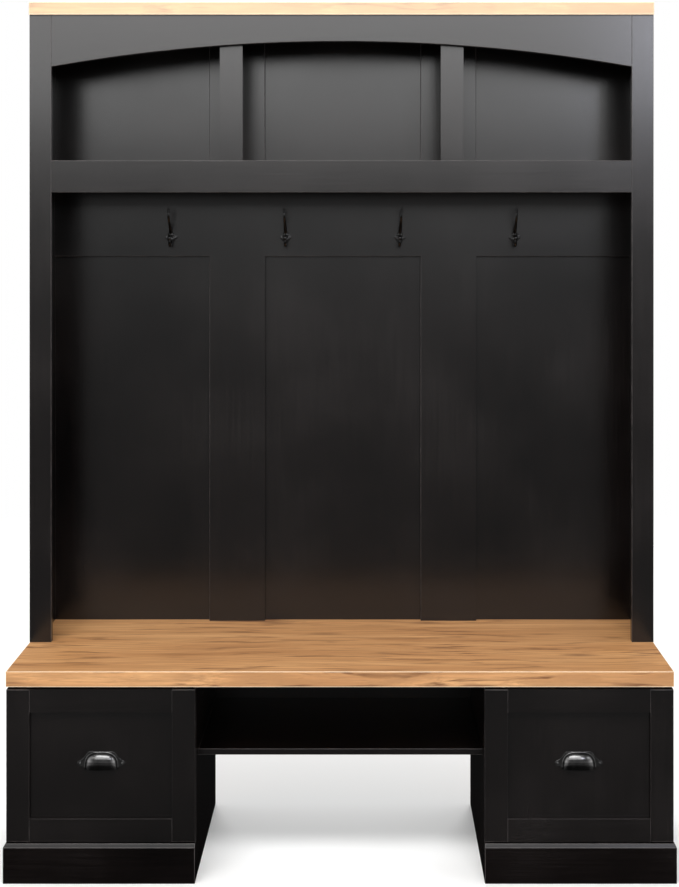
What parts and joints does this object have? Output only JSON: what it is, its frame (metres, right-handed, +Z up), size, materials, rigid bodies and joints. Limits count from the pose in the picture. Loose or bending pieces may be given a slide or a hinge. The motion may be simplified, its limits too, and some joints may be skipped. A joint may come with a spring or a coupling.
{
  "type": "hall tree",
  "caption": "Storage bench with drawers under a wood-look seat, and above it a tall hutch with coat hooks on a panelled back, cubbies and an arched top.",
  "frame": {"origin": "on the floor, at the middle of the footprint", "axes": "+Z up, +Y towards the wall, +X to the right of someone facing the front"},
  "size_m": [1.434, 0.457, 1.909],
  "materials": {
    "black_board": "satin black paint over smooth board",
    "oak_laminate": "satin oak-grain laminate with edge banding",
    "drawer_board": "dark matt foil over particle board",
    "hardboard": "raw brown hardboard",
    "hook_iron": "black powder coat",
    "pull_metal": "dark gunmetal plating, soft gloss",
    "slide_steel": "zinc plate"
  },
  "bodies": {
    "carcass": {"bench_top": "oak_laminate", "hutch_top_board": "oak_laminate", "left_cabinet_outer_side": "black_board", "left_cabinet_inner_side": "black_board", "left_cabinet_bottom": "black_board", "left_plinth_moulding": "black_board", "left_hutch_stile": "black_board", "left_hutch_side": "black_board", "left_mullion": "black_board", "left_divider": "black_board", "left_cabinet_back": "hardboard", "left_outer_slide_channel": "slide_steel", "left_inner_slide_channel": "slide_steel", "right_cabinet_outer_side": "black_board", "right_cabinet_inner_side": "black_board", "right_cabinet_bottom": "black_board", "right_plinth_moulding": "black_board", "right_hutch_stile": "black_board", "right_hutch_side": "black_board", "right_mullion": "black_board", "right_divider": "black_board", "right_cabinet_back": "hardboard", "right_outer_slide_channel": "slide_steel", "right_inner_slide_channel": "slide_steel", "centre_shelf": "black_board", "centre_back": "black_board", "arch_rail": "black_board", "shelf_rail": "black_board", "shelf_board": "black_board", "hutch_back_frame": "black_board", "hutch_back_panel": "black_board", "hanging_cleat": "black_board", "coat_hook_1": "hook_iron", "coat_hook_2": "hook_iron", "coat_hook_3": "hook_iron", "coat_hook_4": "hook_iron"},
    "left_drawer": {"left_drawer_outer_stile": "black_board", "left_drawer_inner_stile": "black_board", "left_drawer_top_rail": "black_board", "left_drawer_bottom_rail": "black_board", "left_drawer_front_panel": "black_board", "left_drawer_outer_side": "drawer_board", "left_drawer_inner_side": "drawer_board", "left_drawer_back": "drawer_board", "left_drawer_bottom": "hardboard", "left_cup_pull": "pull_metal", "left_outer_slide_runner": "slide_steel", "left_inner_slide_runner": "slide_steel"},
    "right_drawer": {"right_drawer_outer_stile": "black_board", "right_drawer_inner_stile": "black_board", "right_drawer_top_rail": "black_board", "right_drawer_bottom_rail": "black_board", "right_drawer_front_panel": "black_board", "right_drawer_outer_side": "drawer_board", "right_drawer_inner_side": "drawer_board", "right_drawer_back": "drawer_board", "right_drawer_bottom": "hardboard", "right_cup_pull": "pull_metal", "right_outer_slide_runner": "slide_steel", "right_inner_slide_runner": "slide_steel"}
  },
  "joints": [
    {"name": "left_drawer_slide", "type": "slide", "parent": "carcass", "child": "left_drawer", "axis": [0, -1, 0], "range_m": [0, 0.29]},
    {"name": "right_drawer_slide", "type": "slide", "parent": "carcass", "child": "right_drawer", "axis": [0, -1, 0], "range_m": [0, 0.29]}
  ]
}
